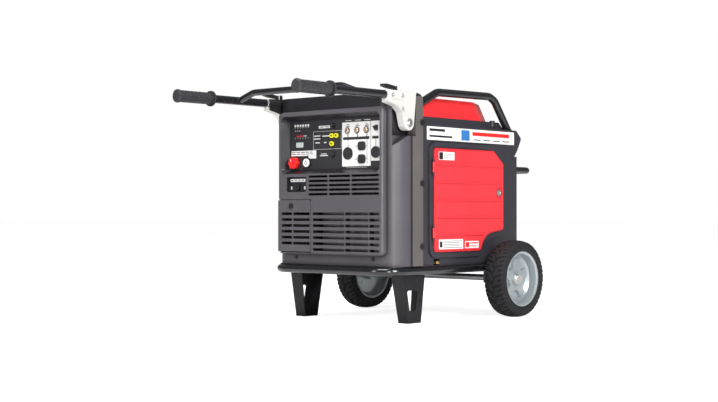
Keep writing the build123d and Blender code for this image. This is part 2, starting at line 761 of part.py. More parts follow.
def make_handle_grips():
    """Ribbed rubber grips with an inner flange and a domed end."""
    start = front_tip_y + grip_length
    outline = [
        (0, front_tip_y), (grip_r - 3, front_tip_y), (grip_r + 2, front_tip_y + 4),
        (grip_r + 2, front_tip_y + 9),
    ]
    pitch = (grip_length - 9 - grip_flange - 4) / rib_count
    for i in range(rib_count):
        y = front_tip_y + 9 + pitch * i
        outline.append((grip_r - 1, y))
        outline.append((grip_r - 1, y + pitch * 0.25))
        outline.append((grip_r, y + pitch * 0.3))
        outline.append((grip_r, y + pitch * 0.95))
    outline.append((grip_r, start - grip_flange))
    outline.append((grip_flange_r, start - grip_flange))
    outline.append((grip_flange_r, start))
    outline.append((grip_tube_r, start))
    outline.append((grip_tube_r, front_tip_y + 9))
    outline.append((0, front_tip_y + 9))
    return both_sides(Pos(handle_x, 0, grip_tube_z) * turned_y(outline))


def make_right_lock_lever():
    """Finger lever that frees the folding handle."""
    top = [
        (lever_pin_y + 5, lever_pin_z + 3), (lever_pin_y - 12, lever_pin_z + 5),
        (lever_tip_y + 16, lever_tip_z + 1), (lever_tip_y, lever_tip_z),
        (lever_tip_y, lever_tip_z - lever_thick + 4), (lever_tip_y + 20, lever_tip_z - lever_thick),
        (lever_pin_y - 12, lever_pin_z - 5), (lever_pin_y + 5, lever_pin_z - 4),
    ]
    lever = prism_x(top, handle_x - lever_half, handle_x + lever_half)
    lever = lever + rod_x(handle_x - lever_half, handle_x + lever_half, lever_pin_y, lever_pin_z, 6.5)
    return lever - rod_x(handle_x - 20, handle_x + 20, lever_pin_y, lever_pin_z, lever_pin_r + running_gap)


# ---- sides and rear ------------------------------------------------------
def outline_offset(x0, x1, grow):
    """The door outline grown by a distance, run from x0 to x1."""
    radii = [max(1.0, radius + grow * corner_sense(i)) for i, radius in enumerate(door_corners)]
    points = grown_outline(door_outline, grow)
    outline = make_face(Plane.YZ.offset(x0) * FilletPolyline(*points, radius=radii, close=True))
    return extrude(outline, amount=x1 - x0, dir=(1, 0, 0))


def corner_sense(index):
    """+1 at an outward corner of the door, -1 at an inward one."""
    return -1.0 if index in (2, 3, 4) else 1.0


def grown_outline(points, grow):
    """Polygon with every side moved outward by a distance."""
    grown = []
    count = len(points)
    for i in range(count):
        y0, z0 = points[i - 1]
        y1, z1 = points[i]
        y2, z2 = points[(i + 1) % count]
        before = math.hypot(y1 - y0, z1 - z0)
        after = math.hypot(y2 - y1, z2 - z1)
        n0 = ((z1 - z0) / before, -(y1 - y0) / before)
        n1 = ((z2 - z1) / after, -(y2 - y1) / after)
        share = grow / (1 + n0[0] * n1[0] + n0[1] * n1[1])
        grown.append((y1 + share * (n0[0] + n1[0]), z1 + share * (n0[1] + n1[1])))
    return grown


def plain_side_panel():
    """Flat side sheet."""
    return block(side_x - sheet, side_x, band_rear_y, panel_rear_y, body_z, deck_z - sheet)


def make_right_side_panel():
    """Side sheet with the door opening, raised surround and hinge lugs."""
    panel = plain_side_panel()
    surround = outline_offset(side_x - 1, rim_outer_x, rim_wide)
    surround = surround - outline_offset(side_x - 2, rim_outer_x + 1, panel_gap)
    panel = panel + surround
    panel = panel - outline_offset(side_x - 5, side_x + 1, -12)
    for z in hinge_spots:
        for z0 in (z - knuckle / 2 - moving_gap - lug, z + knuckle / 2 + moving_gap):
            panel = panel + block(side_x - 1, hinge_x, hinge_y - hinge_r, hinge_y + hinge_r, z0, z0 + lug)
            panel = panel + rod_z(hinge_x, hinge_y, z0, z0 + lug, hinge_r)
        panel = panel + rod_z(hinge_x, hinge_y, z - knuckle / 2 - 2, z + knuckle / 2 + 2, hinge_pin_r)
    return panel - block(side_x - 5, side_x + 1, valve_y - 12, valve_y + 16, body_z - 1, valve_z + 10)


def make_left_side_panel():
    """Side sheet with two columns of louvre slots."""
    panel = plain_side_panel()
    for row in range(8):
        z = 250 + row * 22
        for y0 in (40.0, 170.0):
            panel = panel - block(side_x - 5, side_x + 1, y0, y0 + 110, z, z + 9)
    return other_side(panel)


def make_maintenance_cover():
    """Side door with lapped ridges and hinge knuckles."""
    door = outline_offset(door_inner_x, door_outer_x - 2, 0)
    hollow = outline_offset(door_inner_x - 1, door_inner_x + 4, -5)
    door = door - (hollow - rod_x(side_x - 1, side_x + 9, lock_y, lock_z, lock_r + 10))
    door = door + outline_offset(door_outer_x - 3, door_outer_x - 0.5, -4)
    for z in ridge_z:
        ridge = [(door_outer_x - 2, z - 2), (door_outer_x + 2, z), (door_outer_x - 2, z + 14)]
        outline = make_face(Plane.XZ.offset(-ridge_y) * Polyline(*ridge, close=True))
        door = door + extrude(outline, amount=door_end(z) - ridge_y, dir=(0, 1, 0))
    for z in hinge_spots:
        arm = block(hinge_x - 2, hinge_x + 0.5, hinge_y, hinge_y + 12, z - knuckle / 2, z + knuckle / 2)
        door = door + arm + rod_z(hinge_x, hinge_y, z - knuckle / 2, z + knuckle / 2, hinge_r)
        door = door - rod_z(hinge_x, hinge_y, z - knuckle, z + knuckle, hinge_pin_r + running_gap)
    door = door - rod_x(door_outer_x - 2, door_outer_x + 4, lock_y, lock_z, lock_r + 8)
    door = door - rod_x(side_x, door_outer_x + 4, lock_y, lock_z, lock_r + 1)
    seat = rod_x(door_inner_x, door_inner_x + 3, lock_y, lock_z, lock_r + 4)
    return door + seat - rod_x(side_x, door_outer_x, lock_y, lock_z, lock_shaft_r + running_gap)


def door_end(z):
    """Rear end of a ridge at a height."""
    if z < 268:
        return 250.0
    if z > 470:
        return 343.0
    return 350.0


def make_cover_lock():
    """Coin-slot lock of the side door."""
    x0 = door_inner_x + 3 + moving_gap
    lock = rod_x(x0, door_outer_x + 1, lock_y, lock_z, lock_r)
    lock = lock + rod_x(door_inner_x, x0 + 1, lock_y, lock_z, lock_shaft_r)
    return lock - block(door_outer_x - 1, door_outer_x + 2, lock_y - 7, lock_y + 7, lock_z - 1.2,
                        lock_z + 1.2)


def make_rear_cover():
    """Rear sheet with louvres and the exhaust opening."""
    low = block(-side_x, side_x, panel_rear_y, body_rear_y, body_z, 515)
    low = low - block(-side_x + sheet, side_x - sheet, panel_rear_y - 1, body_rear_y - sheet,
                      body_z - 1, 515 - sheet)
    for row in range(9):
        z = 215 + row * 24
        low = low - block(-70, 160, body_rear_y - 5, body_rear_y + 1, z, z + 10)
    return low - rod_y(muffler_pipe_x, 400, 460, muffler_pipe_z, muffler_pipe_r + 4)


def make_top_cover():
    """Deck with a raised plateau round the tank and a rear visor."""
    deck = block(-side_x, side_x, band_rear_y, 441, deck_z - sheet, deck_z)
    raised = Plane.XY.offset(deck_z - sheet) * Pos(0, (band_rear_y + 440) / 2)
    raised = raised * Rectangle(2 * plateau_x, 440 - band_rear_y - 4)
    deck = deck + extrude(raised, amount=plateau_z - deck_z + sheet, taper=25)
    hollow = Plane.XY.offset(deck_z - sheet - 1) * Pos(0, (band_rear_y + 440) / 2)
    hollow = hollow * Rectangle(2 * plateau_x - 6, 440 - band_rear_y - 10)
    deck = deck - extrude(hollow, amount=plateau_z - deck_z + 1, taper=25)
    visor = [(431, 516), (449, 538), (visor_y, 570), (visor_y, 578), (441, deck_z), (431, deck_z)]
    inside = [
        (431, 523), (447, 543), (visor_y - sheet, 572), (visor_y - sheet, 577),
        (440, deck_z - sheet), (431, deck_z - sheet),
    ]
    deck = deck + (prism_x(visor, -side_x, side_x) - prism_x(inside, -side_x + sheet, side_x - sheet))
    deck = deck + rod_z(breather_x, breather_y, plateau_z - 16, plateau_z + 4, breather_r)
    return deck - tank_block(panel_gap, deck_z - 20, 720)


def tank_block(grow, z0, z1):
    """Tank outline grown by a distance."""
    half = tank_x + grow
    y0 = tank_front_y - grow
    y1 = tank_rear_y + grow
    points = [(-half, y0), (half, y0), (half, 335), (140 + grow, y1), (-140 - grow, y1), (-half, 335)]
    return prism_z(points, z0, z1)


def tank_section(inset, lean):
    """Tank outline drawn in all round and leaning in at the rear."""
    half = tank_x - inset
    y0 = tank_front_y + inset
    y1 = tank_rear_y - inset - lean
    side_y = 335 - inset - lean
    return [
        (-half, y0), (half, y0), (half, side_y), (140 - inset, y1), (-140 + inset, y1), (-half, side_y),
    ]


def tank_crown(inset):
    """Upper part of the tank, leaning in at its rear end."""
    low = Plane.XY.offset(plateau_z - 2) * Polyline(*tank_section(inset, 0), close=True)
    high = Plane.XY.offset(tank_top_z - inset) * Polyline(*tank_section(inset, tank_lean), close=True)
    return loft([make_face(low), make_face(high)])


def make_fuel_tank():
    """Hollow tank with a sunken filler and neck."""
    tank = tank_block(0, tank_low_z, plateau_z - 2) + tank_crown(0)
    tank = fillet(tank.faces().sort_by(Axis.Z)[-1].edges(), 9)
    tank = tank - tank_block(-tank_wall, tank_low_z + tank_wall, plateau_z - 2)
    tank = tank - tank_crown(12)
    tank = tank + rod_z(0, cap_y, tank_top_z - 13, tank_top_z - 11, cap_r + 12)
    tank = tank - rod_z(0, cap_y, tank_top_z - 10, tank_top_z + 1, cap_r + 8)
    tank = tank + rod_z(0, cap_y, tank_top_z - 34, tank_top_z - 4, neck_r)
    return tank - rod_z(0, cap_y, tank_top_z - 40, tank_top_z, neck_r - 3)


def make_fuel_cap():
    """Screw cap with finger notches."""
    z0 = tank_top_z - 10 + moving_gap
    cap = rod_z(0, cap_y, z0, z0 + 20, cap_r)
    cap = chamfer(cap.faces().sort_by(Axis.Z)[-1].edges(), 2)
    for i in range(8):
        x = (cap_r + 3) * math.cos(math.radians(45 * i))
        y = cap_y + (cap_r + 3) * math.sin(math.radians(45 * i))
        cap = cap - rod_z(x, y, z0 - 1, z0 + 21, 6)
    return cap - rod_z(0, cap_y, z0 - 1, tank_top_z - 4 + moving_gap, neck_r + 0.3)


def make_fuel_gauge():
    """Round level gauge on the tank."""
    return rod_z(0, gauge_y, tank_top_z, tank_top_z + 5, 18)


def make_right_top_pipe():
    """Carrying pipe along the top of the body."""
    points = [(rail_x, y, z) for y, z in top_pipe_points]
    pipe = tube_run(points, [60, 45, 40], top_pipe_r)
    pipe = pipe - block(100, 300, 380, 500, 500, deck_z)
    foot = rod_z(rail_x, 435, deck_z, deck_z + 4, top_pipe_r + 1)
    return pipe + foot - block(100, 300, -100, band_rear_y, 500, 720)


def make_rear_bar():
    """Rear bumper bar with its two flanges."""
    y1 = rear_tip_y - rear_bar_r
    points = [
        (-rear_bar_x, body_rear_y, rear_bar_z), (-rear_bar_x, y1, rear_bar_z),
        (rear_bar_x, y1, rear_bar_z), (rear_bar_x, body_rear_y, rear_bar_z),
    ]
    bar = tube_run(points, rear_bar_bend, rear_bar_r)
    return bar + both_sides(block(rear_bar_x - 20, rear_bar_x + 20, body_rear_y, body_rear_y + 4,
                                  rear_bar_z - 32, rear_bar_z + 32))


# ---- power unit ----------------------------------------------------------
def make_engine_block():
    """Crankcase with a slanted finned barrel and head."""
    case = block(-85, 85, block_y0, block_y1, body_z, crank_z + 70)
    barrel = block(-55, 55, block_y0 + 15, block_y1 - 15, crank_z + 40, crank_z + 200)
    for i in range(fin_count):
        z = crank_z + 90 + 16 * i
        barrel = barrel + block(-72, 72, block_y0 + 3, block_y1 - 3, z, z + 6)
    return case + barrel - rod_y(0, block_y0 - 1, block_y1 + 1, crank_z, crank_r + running_gap)


def make_stator():
    """Alternator ring on its foot."""
    ring = rod_y(0, stator_y0, stator_y1, crank_z, stator_r)
    ring = ring + block(-60, 60, stator_y0 + 10, stator_y1 - 10, body_z, crank_z - 60)
    return ring - rod_y(0, stator_y0 - 1, stator_y1 + 1, crank_z, rotor_r + 2)


def make_crank_rotor():
    """Crankshaft with the alternator rotor."""
    shaft = rod_y(0, fan_y0, block_y1 + 20, crank_z, crank_r)
    return shaft + rod_y(0, stator_y0 + 4, stator_y1 - 4, crank_z, rotor_r)


def make_cooling_fan():
    """Bladed fan on the front of the shaft."""
    fan = rod_y(0, fan_y1 - 5, fan_y1, crank_z, fan_r) + rod_y(0, fan_y0, fan_y1, crank_z, crank_r + 12)
    for i in range(blade_count):
        blade = block(-1.5, 1.5, fan_y0 + 4, fan_y1 - 4, crank_r + 8, fan_r - 2)
        fan = fan + Pos(0, 0, crank_z) * Rot(0, 360 / blade_count * i, 0) * blade
    return fan - rod_y(0, fan_y0 - 1, fan_y1 + 1, crank_z, crank_r)


def make_muffler():
    """Exhaust box with its tail pipe."""
    box_part = block(-225, -105, 200, 395, 300, 450)
    box_part = fillet(box_part.edges().filter_by(Axis.Y), 18)
    box_part = box_part + block(-110, -86, 225, 255, 340, 365)
    pipe = rod_y(muffler_pipe_x, 390, body_rear_y + 4, muffler_pipe_z, muffler_pipe_r)
    return box_part + pipe - rod_y(muffler_pipe_x, 398, body_rear_y + 5, muffler_pipe_z, muffler_pipe_r - 3)


def make_air_cleaner():
    """Air cleaner case with its duct to the engine."""
    case = block(120, 222, 60, 250, 330, 470)
    case = fillet(case.edges().filter_by(Axis.Y), 14)
    return case + rod_x(86, 125, 210, 360, 16) - block(60, 85, 180, 240, 300, 400)


def make_inverter_unit():
    """Finned power electronics block."""
    unit = block(-60, 200, -165, -70, tray_z, 360)
    for i in range(12):
        x = -52 + i * 21
        unit = unit - block(x, x + 12, -120, -60, tray_z + 12, 361)
    return unit


def make_battery():
    """Starter battery with two posts."""
    battery = block(-205, -95, -172, -90, tray_z, 320)
    battery = battery + rod_z(-190, -130, 319, 330, 5)
    return battery + rod_z(-110, -130, 319, 330, 5)


def make_drain_valve():
    """Small drain valve stub low on the right side."""
    return rod_x(205, side_x + 1, valve_y, valve_z, valve_r) + rod_z(212, valve_y, body_z, valve_z, 6)


def make_drain_lever():
    """Flat lever on the valve."""
    x0 = side_x + 1 + moving_gap
    lever = rod_x(x0, x0 + 3, valve_y, valve_z, 5)
    return lever + block(x0, x0 + 3, valve_y, valve_y + 10, valve_z - 3, valve_z + 3)


right_leg = make_right_leg()
right_tyre = make_right_tyre()
right_rim = make_right_rim()
right_bracket = make_right_handle_bracket()
right_lever = make_right_lock_lever()
right_pipe = make_right_top_pipe()

nodes = {
    "base_frame": make_base_frame(),
    "right_leg": right_leg,
    "left_leg": other_side(right_leg),
    "axle": make_axle(),
    "axle_nuts": make_axle_nuts(),
    "right_tyre": right_tyre,
    "left_tyre": other_side(right_tyre),
    "right_rim": right_rim,
    "left_rim": other_side(right_rim),
    "base_pan": make_base_pan(),
    "front_cover": make_front_cover(),
    "control_board": make_control_board(),
    "outlet_plate": make_outlet_plate(),
    "receptacles": make_receptacles(),
    "parallel_jacks": make_parallel_jacks(),
    "display": make_display(),
    "engine_switch_knob": make_engine_switch_knob(),
    "start_button": make_start_button(),
    "breaker_a": make_breaker(breaker_spots[0]),
    "breaker_b": make_breaker(breaker_spots[1]),
    "breaker_c": make_breaker(breaker_spots[2]),
    "eco_switch": make_rocker(eco_spot[0], eco_spot[1], board_y),
    "voltage_switch": make_rocker(volt_spot[0], volt_spot[1], board_y),
    "toggle_breaker": make_toggle(toggle_spot[0], toggle_spot[1], board_y),
    "slide_switch": make_toggle(slide_spot[0], slide_spot[1], small_floor_y),
    "battery_cover": make_battery_cover(),
    "battery_cover_screw": make_battery_cover_screw(),
    "front_frame": make_front_frame(),
    "cover_screws": make_cover_screws(),
    "handle_tubes": make_handle_tubes(),
    "right_handle_bracket": right_bracket,
    "left_handle_bracket": other_side(right_bracket),
    "handle_grips": make_handle_grips(),
    "clamp_bolts": make_clamp_bolts(),
    "pivot_bolts": make_pivot_bolts(),
    "right_lock_lever": right_lever,
    "left_lock_lever": other_side(right_lever),
    "right_side_panel": make_right_side_panel(),
    "left_side_panel": make_left_side_panel(),
    "maintenance_cover": make_maintenance_cover(),
    "cover_lock": make_cover_lock(),
    "rear_cover": make_rear_cover(),
    "top_cover": make_top_cover(),
    "fuel_tank": make_fuel_tank(),
    "fuel_cap": make_fuel_cap(),
    "fuel_gauge": make_fuel_gauge(),
    "right_top_pipe": right_pipe,
    "left_top_pipe": other_side(right_pipe),
    "rear_bar": make_rear_bar(),
    "engine_block": make_engine_block(),
    "stator": make_stator(),
    "crank_rotor": make_crank_rotor(),
    "cooling_fan": make_cooling_fan(),
    "muffler": make_muffler(),
    "air_cleaner": make_air_cleaner(),
    "inverter_unit": make_inverter_unit(),
    "battery": make_battery(),
    "drain_valve": make_drain_valve(),
    "drain_lever": make_drain_lever(),
}

for name, shape in nodes.items():
    export_step(shape, os.path.join("parts", name + ".step"))
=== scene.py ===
import json
import math

import bmesh
import bpy
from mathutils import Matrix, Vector


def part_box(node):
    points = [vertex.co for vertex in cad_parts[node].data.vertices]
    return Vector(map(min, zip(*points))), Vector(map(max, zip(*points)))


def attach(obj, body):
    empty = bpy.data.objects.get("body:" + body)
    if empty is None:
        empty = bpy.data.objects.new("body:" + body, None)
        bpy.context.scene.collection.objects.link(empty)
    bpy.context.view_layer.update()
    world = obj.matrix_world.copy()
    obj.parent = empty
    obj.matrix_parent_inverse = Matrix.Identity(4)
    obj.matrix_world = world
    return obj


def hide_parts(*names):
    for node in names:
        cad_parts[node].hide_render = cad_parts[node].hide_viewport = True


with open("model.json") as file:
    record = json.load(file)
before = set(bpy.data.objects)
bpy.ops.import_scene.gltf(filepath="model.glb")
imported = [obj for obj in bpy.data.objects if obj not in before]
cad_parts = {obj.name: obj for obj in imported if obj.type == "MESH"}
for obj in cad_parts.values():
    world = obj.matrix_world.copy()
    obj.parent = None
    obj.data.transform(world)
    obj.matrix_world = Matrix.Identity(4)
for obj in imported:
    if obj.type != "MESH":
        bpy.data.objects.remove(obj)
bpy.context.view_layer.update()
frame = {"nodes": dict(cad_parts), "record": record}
nodes = frame["nodes"]

MM = 0.001

# ---- camera --------------------------------------------------------------
CAMERA_AT = Vector((2.7401, -3.1636, 0.3372))
CAMERA_AZIMUTH = math.radians(41.46)
CAMERA_ELEVATION = math.radians(-0.43)
LENS = 66.43
SENSOR_WIDTH = 36.0
VIEW_LIMIT = 100.0


def make_camera():
    """Camera at its place, aimed by azimuth and elevation."""
    data = bpy.data.cameras.new("view")
    data.lens = LENS
    data.sensor_width = SENSOR_WIDTH
    data.clip_end = VIEW_LIMIT
    camera = bpy.data.objects.new("view", data)
    bpy.context.scene.collection.objects.link(camera)
    look = Vector((
        -math.sin(CAMERA_AZIMUTH) * math.cos(CAMERA_ELEVATION),
        math.cos(CAMERA_AZIMUTH) * math.cos(CAMERA_ELEVATION),
        -math.sin(CAMERA_ELEVATION),
    ))
    camera.location = CAMERA_AT
    camera.rotation_euler = look.to_track_quat("-Z", "Y").to_euler()
    bpy.context.scene.camera = camera


# ---- stage ---------------------------------------------------------------
FLOOR_HALF = 40.0
FLOOR_GLOW = 0.80
FLOOR_BOUNCE = 0.05
AMBIENT = 0.20
BACKDROP = 1.0


def node_tree(name):
    """New material with its nodes and its main shader."""
    mat = bpy.data.materials.new(name)
    mat.use_nodes = True
    tree = mat.node_tree
    shader = tree.nodes["Principled BSDF"]
    return mat, tree, shader


def area_light(name, at, target, size, power, colour=(1.0, 1.0, 1.0)):
    """Rectangular light aimed at a point."""
    data = bpy.data.lights.new(name, "AREA")
    data.shape = "RECTANGLE"
    data.size = size[0]
    data.size_y = size[1]
    data.energy = power
    data.color = colour
    light = bpy.data.objects.new(name, data)
    light.location = at
    light.rotation_euler = (Vector(target) - Vector(at)).to_track_quat("-Z", "Y").to_euler()
    bpy.context.scene.collection.objects.link(light)


def make_floor():
    """Pale floor that looks brighter to the camera than the light it gives off."""
    mesh = bpy.data.meshes.new("floor")
    corners = [
        (-FLOOR_HALF, -FLOOR_HALF, 0), (FLOOR_HALF, -FLOOR_HALF, 0),
        (FLOOR_HALF, FLOOR_HALF, 0), (-FLOOR_HALF, FLOOR_HALF, 0),
    ]
    mesh.from_pydata(corners, [], [(0, 1, 2, 3)])
    floor = bpy.data.objects.new("floor", mesh)
    bpy.context.scene.collection.objects.link(floor)
    mat, tree, shader = node_tree("pale_floor")
    shader.inputs["Base Color"].default_value = (0.93, 0.93, 0.93, 1)
    shader.inputs["Roughness"].default_value = 0.9
    shader.inputs["Specular IOR Level"].default_value = 0.1
    shader.inputs["Emission Color"].default_value = (1, 1, 1, 1)
    seen_level(tree, shader.inputs["Emission Strength"], FLOOR_BOUNCE, FLOOR_GLOW)
    mesh.materials.append(mat)


def seen_level(tree, socket, unseen, seen):
    """Drives a strength with one value for the camera's own rays and another for all others."""
    ray = tree.nodes.new("ShaderNodeLightPath")
    level = tree.nodes.new("ShaderNodeMapRange")
    level.inputs["To Min"].default_value = unseen
    level.inputs["To Max"].default_value = seen
    tree.links.new(ray.outputs["Is Camera Ray"], level.inputs["Value"])
    tree.links.new(level.outputs["Result"], socket)


def make_world():
    """White backdrop that lights the object more softly than it looks."""
    world = bpy.data.worlds.new("studio")
    world.use_nodes = True
    tree = world.node_tree
    back = tree.nodes["Background"]
    back.inputs["Color"].default_value = (1, 1, 1, 1)
    seen_level(tree, back.inputs["Strength"], AMBIENT, BACKDROP)
    bpy.context.scene.world = world


def make_stage():
    """Floor, backdrop and four soft lights."""
    make_floor()
    make_world()
    bpy.context.scene.view_settings.view_transform = "Standard"
    area_light("key", (3.5, -1.1, 2.0), (0.1, 0.0, 0.35), (0.9, 1.5), 140)
    area_light("strip", (2.7, -2.5, 0.95), (0.1, -0.1, 0.40), (0.45, 1.9), 42, (1.0, 0.98, 0.95))
    area_light("front", (-1.2, -3.8, 1.7), (0.0, -0.2, 0.4), (0.9, 1.4), 46)
    area_light("top", (0.1, -1.0, 2.9), (0.0, -0.1, 0.6), (1.4, 0.9), 64)


# ---- materials -----------------------------------------------------------
# share of the base colour left in the deepest crevices: painted shade
CREVICE_SHADE = 0.06
ROUGH_SPREAD = 0.07
COAT_ROUGH = 0.08
SMEAR_RATIO = 4.3
BUMP_HEIGHT = 0.0004


def textured(name, base, rough, metal=0.0, coat=0.0, grain=900.0, relief=0.12, blotch=9.0, vary=0.08,
             edge=0.0008, shine=0.5, crevice=0.0):
    """Base colour with soft blotches and, where crevice is set, painted shade in crevices; roughness
    variation, a fine grain and softened edges.
    """
    mat, tree, shader = node_tree(name)
    link = tree.links.new
    place = tree.nodes.new("ShaderNodeTexCoord")
    cloud = tree.nodes.new("ShaderNodeTexNoise")
    cloud.inputs["Scale"].default_value = blotch
    cloud.inputs["Detail"].default_value = 5.0
    link(place.outputs["Object"], cloud.inputs["Vector"])
    ramp = tree.nodes.new("ShaderNodeValToRGB")
    ramp.color_ramp.elements[0].position = 0.3
    ramp.color_ramp.elements[1].position = 0.7
    ramp.color_ramp.elements[0].color = [c * (1 - vary) for c in base] + [1]
    ramp.color_ramp.elements[1].color = [min(1.0, c * (1 + vary)) for c in base] + [1]
    link(cloud.outputs["Fac"], ramp.inputs["Fac"])
    colour = ramp.outputs["Color"]
    # painted shade: ambient occlusion darkens the colour in crevices, slots and seams within the crevice
    # distance
    if crevice > 0:
        painted_crevice_shade = tree.nodes.new("ShaderNodeAmbientOcclusion")
        painted_crevice_shade.samples = 6
        painted_crevice_shade.inputs["Distance"].default_value = crevice
        link(colour, painted_crevice_shade.inputs["Color"])
        darken = tree.nodes.new("ShaderNodeMix")
        darken.data_type = "RGBA"
        darken.inputs["A"].default_value = [c * CREVICE_SHADE for c in base] + [1]
        link(painted_crevice_shade.outputs["AO"], darken.inputs["Factor"])
        link(painted_crevice_shade.outputs["Color"], darken.inputs["B"])
        colour = darken.outputs["Result"]
    link(colour, shader.inputs["Base Color"])
    shader.inputs["Specular IOR Level"].default_value = shine
    smear = tree.nodes.new("ShaderNodeTexNoise")
    smear.inputs["Scale"].default_value = blotch * SMEAR_RATIO
    smear.inputs["Detail"].default_value = 6.0
    link(place.outputs["Object"], smear.inputs["Vector"])
    spread = tree.nodes.new("ShaderNodeMapRange")
    spread.inputs["To Min"].default_value = max(0.02, rough - ROUGH_SPREAD)
    spread.inputs["To Max"].default_value = min(1.0, rough + ROUGH_SPREAD)
    link(smear.outputs["Fac"], spread.inputs["Value"])
    link(spread.outputs["Result"], shader.inputs["Roughness"])
    shader.inputs["Metallic"].default_value = metal
    shader.inputs["Coat Weight"].default_value = coat
    shader.inputs["Coat Roughness"].default_value = COAT_ROUGH
    fine = tree.nodes.new("ShaderNodeTexNoise")
    fine.inputs["Scale"].default_value = grain
    fine.inputs["Detail"].default_value = 3.0
    link(place.outputs["Object"], fine.inputs["Vector"])
    bump = tree.nodes.new("ShaderNodeBump")
    bump.inputs["Strength"].default_value = relief
    bump.inputs["Distance"].default_value = BUMP_HEIGHT
    link(fine.outputs["Fac"], bump.inputs["Height"])
    if edge > 0:
        soften = tree.nodes.new("ShaderNodeBevel")
        soften.samples = 4
        soften.inputs["Radius"].default_value = edge
        link(soften.outputs["Normal"], bump.inputs["Normal"])
    link(bump.outputs["Normal"], shader.inputs["Normal"])
    return mat


FINISHES = {
    "gloss_black_paint": dict(base=(0.006, 0.006, 0.008), rough=0.20, coat=0.5, grain=500, relief=0.04),
    "cover_grey": dict(base=(0.072, 0.066, 0.078), rough=0.36, grain=1500, relief=0.25, edge=0.002,
                       crevice=0.02),
    "band_black": dict(base=(0.098, 0.088, 0.086), rough=0.32, grain=1500, relief=0.22, edge=0.003,
                       crevice=0.012),
    "panel_black": dict(base=(0.030, 0.029, 0.037), rough=0.33, grain=1200, relief=0.12,
                        edge=0.0015, crevice=0.01),
    "deep_red": dict(base=(0.80, 0.030, 0.042), rough=0.36, coat=0.25, grain=700, relief=0.06, edge=0.001,
                     crevice=0.008),
    "tank_red": dict(base=(0.84, 0.022, 0.028), rough=0.30, coat=0.5, grain=400, relief=0.04, edge=0.003),
    "cast_silver": dict(base=(0.74, 0.73, 0.70), rough=0.42, metal=0.35, grain=700, relief=0.3,
                        edge=0.0015),
    "steel": dict(base=(0.50, 0.50, 0.52), rough=0.32, metal=1.0, grain=800, relief=0.1),
    "tyre_rubber": dict(base=(0.012, 0.012, 0.014), rough=0.72, grain=900, relief=0.3, edge=0, shine=0.30,
                        crevice=0.006),
    "grip_rubber": dict(base=(0.020, 0.020, 0.023), rough=0.50, grain=900, relief=0.3, edge=0.0008,
                        crevice=0.006),
    "rim_silver": dict(base=(0.36, 0.40, 0.42), rough=0.30, metal=0.45, coat=0.3, grain=500,
                       relief=0.05, edge=0.002),
    "leg_black": dict(base=(0.008, 0.008, 0.010), rough=0.42, grain=700, relief=0.1, edge=0.002,
                      shine=0.30),
    "board_black": dict(base=(0.010, 0.009, 0.013), rough=0.5, grain=1500, relief=0.15),
    "plate_white": dict(base=(0.74, 0.74, 0.73), rough=0.45, grain=1200, relief=0.06, vary=0.03),
    "outlet_black": dict(base=(0.012, 0.012, 0.014), rough=0.42, grain=1200, relief=0.12),
    "jack_yellow": dict(base=(0.85, 0.78, 0.02), rough=0.35, grain=900, relief=0.06),
    "display_window": dict(base=(0.46, 0.52, 0.50), rough=0.15, coat=0.8, grain=300, relief=0.02),
    "knob_red": dict(base=(0.85, 0.016, 0.016), rough=0.32, coat=0.3, grain=900, relief=0.06),
    "button_white": dict(base=(0.85, 0.85, 0.83), rough=0.35, grain=900, relief=0.04, vary=0.03),
    "copper_button": dict(base=(0.66, 0.47, 0.36), rough=0.28, metal=0.9, grain=600, relief=0.06),
    "key_black": dict(base=(0.010, 0.010, 0.011), rough=0.35, grain=900, relief=0.08),
    "bolt_steel": dict(base=(0.74, 0.74, 0.73), rough=0.24, metal=0.9, grain=600, relief=0.06),
    "cap_black": dict(base=(0.014, 0.014, 0.014), rough=0.5, grain=1100, relief=0.2),
    "gauge_glass": dict(base=(0.70, 0.70, 0.68), rough=0.15, coat=0.8, grain=400, relief=0.03),
    "engine_metal": dict(base=(0.30, 0.30, 0.31), rough=0.5, metal=0.8, grain=500, relief=0.4),
    "rotor_steel": dict(base=(0.25, 0.24, 0.23), rough=0.45, metal=0.9, grain=300, relief=0.3),
    "fan_plastic": dict(base=(0.02, 0.02, 0.024), rough=0.5, grain=900, relief=0.15),
    "muffler_steel": dict(base=(0.14, 0.12, 0.11), rough=0.55, metal=0.7, grain=400, relief=0.25),
    "cleaner_black": dict(base=(0.02, 0.02, 0.02), rough=0.5, grain=1100, relief=0.2),
    "inverter_alloy": dict(base=(0.30, 0.30, 0.32), rough=0.42, metal=0.8, grain=600, relief=0.2),
    "battery_case": dict(base=(0.012, 0.012, 0.014), rough=0.45, grain=900, relief=0.15),
    "label_blue": dict(base=(0.03, 0.16, 0.42), rough=0.42, grain=1200, relief=0.05, edge=0),
    "valve_brass": dict(base=(0.72, 0.52, 0.20), rough=0.30, metal=0.9, grain=600, relief=0.1),
}

materials = {name: textured(name, **values) for name, values in FINISHES.items()}


def compare(tree, socket, operation, limit):
    """1 where a number is over or under a limit."""
    step = tree.nodes.new("ShaderNodeMath")
    step.operation = operation
    step.inputs[1].default_value = limit
    tree.links.new(socket, step.inputs[0])
    return step.outputs["Value"]


def combine(tree, operation, first, second):
    """Two masks multiplied for both, or taken at their larger for either."""
    node = tree.nodes.new("ShaderNodeMath")
    node.operation = operation
    tree.links.new(first, node.inputs[0])
    tree.links.new(second, node.inputs[1])
    return node.outputs["Value"]


